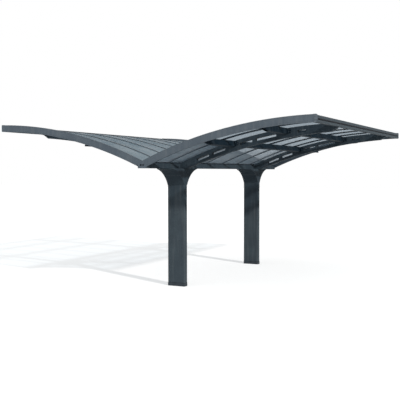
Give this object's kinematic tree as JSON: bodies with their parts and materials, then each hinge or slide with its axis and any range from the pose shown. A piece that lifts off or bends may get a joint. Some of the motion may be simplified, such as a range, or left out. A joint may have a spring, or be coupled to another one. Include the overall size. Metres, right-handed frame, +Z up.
{
  "type": "double carport",
  "caption": "Double carport with a valley gutter on broad flared posts and a curved glazed roof wing rising to each side on open-web arms.",
  "frame": {"origin": "on the ground, midway between the two posts and midway between the two outer edges", "axes": "+X along the valley gutter, +Y across the wings, +Z up"},
  "size_m": [4.956, 5.106, 2.4815],
  "materials": {
    "frame_paint": "satin",
    "edge_paint": "satin",
    "trim_plastic": "matt",
    "zinc_plate": "galvanised",
    "roof_sheet": "translucent twin-wall sheet"
  },
  "bodies": {
    "root": {"front_base_plate": "zinc_plate", "rear_base_plate": "zinc_plate", "front_base_trim": "trim_plastic", "rear_base_trim": "trim_plastic", "front_post": "frame_paint", "rear_post": "frame_paint", "front_flares": "frame_paint", "rear_flares": "frame_paint", "front_head_plate": "frame_paint", "rear_head_plate": "frame_paint", "valley_gutter": "frame_paint", "left_valley_rail": "frame_paint", "right_valley_rail": "frame_paint", "front_gutter_cap": "trim_plastic", "rear_gutter_cap": "trim_plastic", "front_left_fascia": "edge_paint", "front_right_fascia": "edge_paint", "rear_left_fascia": "edge_paint", "rear_right_fascia": "edge_paint", "left_eave_beam": "edge_paint", "right_eave_beam": "edge_paint", "left_corner_caps": "edge_paint", "right_corner_caps": "edge_paint", "left_inner_purlin": "frame_paint", "left_outer_purlin": "frame_paint", "right_inner_purlin": "frame_paint", "right_outer_purlin": "frame_paint", "front_left_lower_chord": "frame_paint", "front_right_lower_chord": "frame_paint", "rear_left_lower_chord": "frame_paint", "rear_right_lower_chord": "frame_paint", "front_left_upper_chord": "frame_paint", "front_right_upper_chord": "frame_paint", "rear_left_upper_chord": "frame_paint", "rear_right_upper_chord": "frame_paint", "front_left_spacers": "frame_paint", "front_right_spacers": "frame_paint", "rear_left_spacers": "frame_paint", "rear_right_spacers": "frame_paint", "left_glazing_bars": "frame_paint", "right_glazing_bars": "frame_paint", "left_roof_panels": "roof_sheet", "right_roof_panels": "roof_sheet"}
  },
  "joints": []
}
